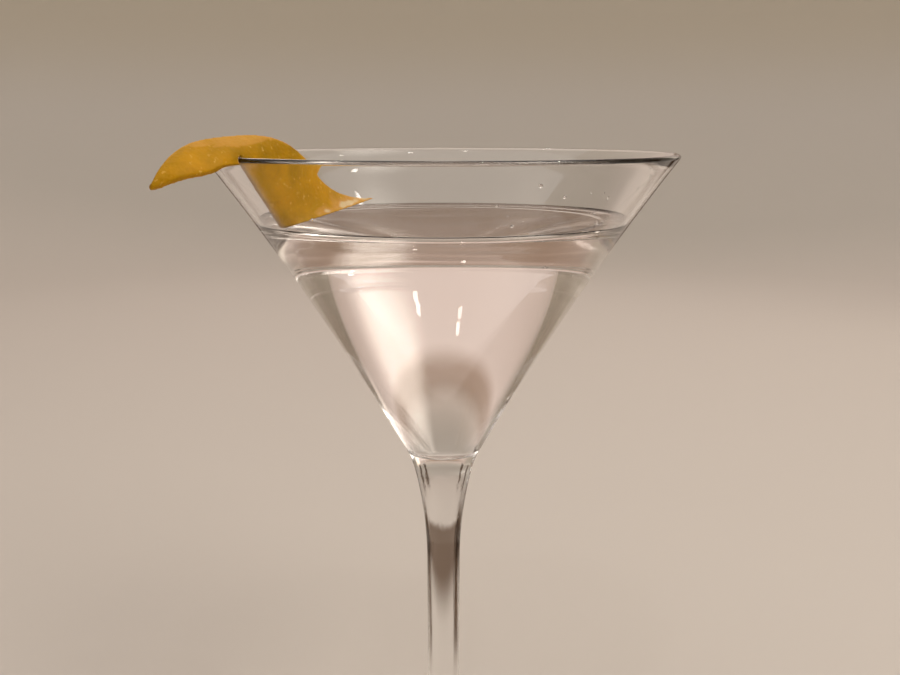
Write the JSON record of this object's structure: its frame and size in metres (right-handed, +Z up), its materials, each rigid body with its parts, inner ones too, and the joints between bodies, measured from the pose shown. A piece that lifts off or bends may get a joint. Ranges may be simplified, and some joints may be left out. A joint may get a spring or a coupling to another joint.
{
  "type": "clear cocktail in a stemmed glass",
  "caption": "V-shaped stemmed cocktail glass filled with a clear pale drink, with a slit lemon peel twist on its rim.",
  "frame": {"origin": "centre of the foot's flat underside, on the glass's axis", "axes": "+Z up along the glass's axis; the lemon twist sits on the rim's -X side, turned towards -Y, which is the viewer's side"},
  "size_m": [0.1174, 0.1166, 0.1827],
  "materials": {
    "glass": "clear polished soda-lime glass",
    "drink": "clear spirit with a faint warm blush",
    "lemon_peel": "waxy, finely pored golden lemon zest over pale pith"
  },
  "bodies": {
    "root": {"glass": "glass", "drink": "drink", "lemon_twist": "lemon_peel"}
  },
  "joints": []
}
